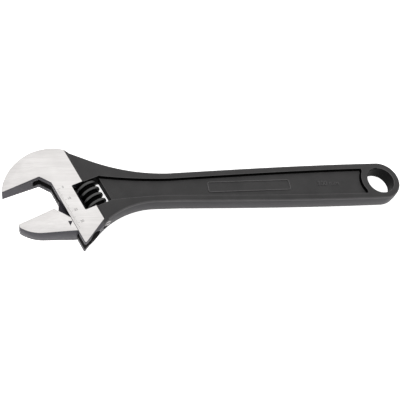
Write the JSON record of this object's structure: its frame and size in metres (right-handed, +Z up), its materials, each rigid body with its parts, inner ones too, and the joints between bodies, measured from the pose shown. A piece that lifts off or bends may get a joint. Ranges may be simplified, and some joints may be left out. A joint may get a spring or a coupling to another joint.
{
  "type": "adjustable wrench",
  "caption": "Adjustable wrench with a fixed jaw on a recessed-panel forged handle, a jaw sliding on a round rail, and a knurled worm that drives it.",
  "frame": {"origin": "under the middle of the box around the wrench, at the height where the worm touches the ground", "axes": "+X from the jaws to the handle's end, +Y from the sliding jaw towards the fixed jaw, +Z up through the thickness"},
  "size_m": [0.308, 0.0772, 0.0173],
  "materials": {
    "black_forging": "black phosphated forging, with the head's faces ground bright",
    "ground_steel": "bright ground faces, darker forged sides",
    "black_worm": "blackened and oiled",
    "axle_steel": "turned and lightly blackened",
    "spring_steel": "drawn wire"
  },
  "bodies": {
    "frame": {"body": "black_forging", "worm_axle": "axle_steel", "worm_spring": "spring_steel"},
    "jaw": {"movable_jaw": "ground_steel"},
    "worm": {"worm": "black_worm"}
  },
  "joints": [
    {"name": "jaw_slide", "type": "slide", "parent": "frame", "child": "jaw", "axis": [0.3827, -0.9239, 0], "range_m": [-0.0274, 0.0065]},
    {"name": "worm_spin", "type": "hinge", "parent": "frame", "child": "worm", "pos_m": [-0.09263, 0.00048, 0.00865], "axis": [-0.3827, 0.9239, 0], "range_deg": [-1898, 451]}
  ],
  "couplings": [
    {"joint": "worm_spin", "follows": "jaw_slide", "rad_per_m": 1208.3}
  ]
}
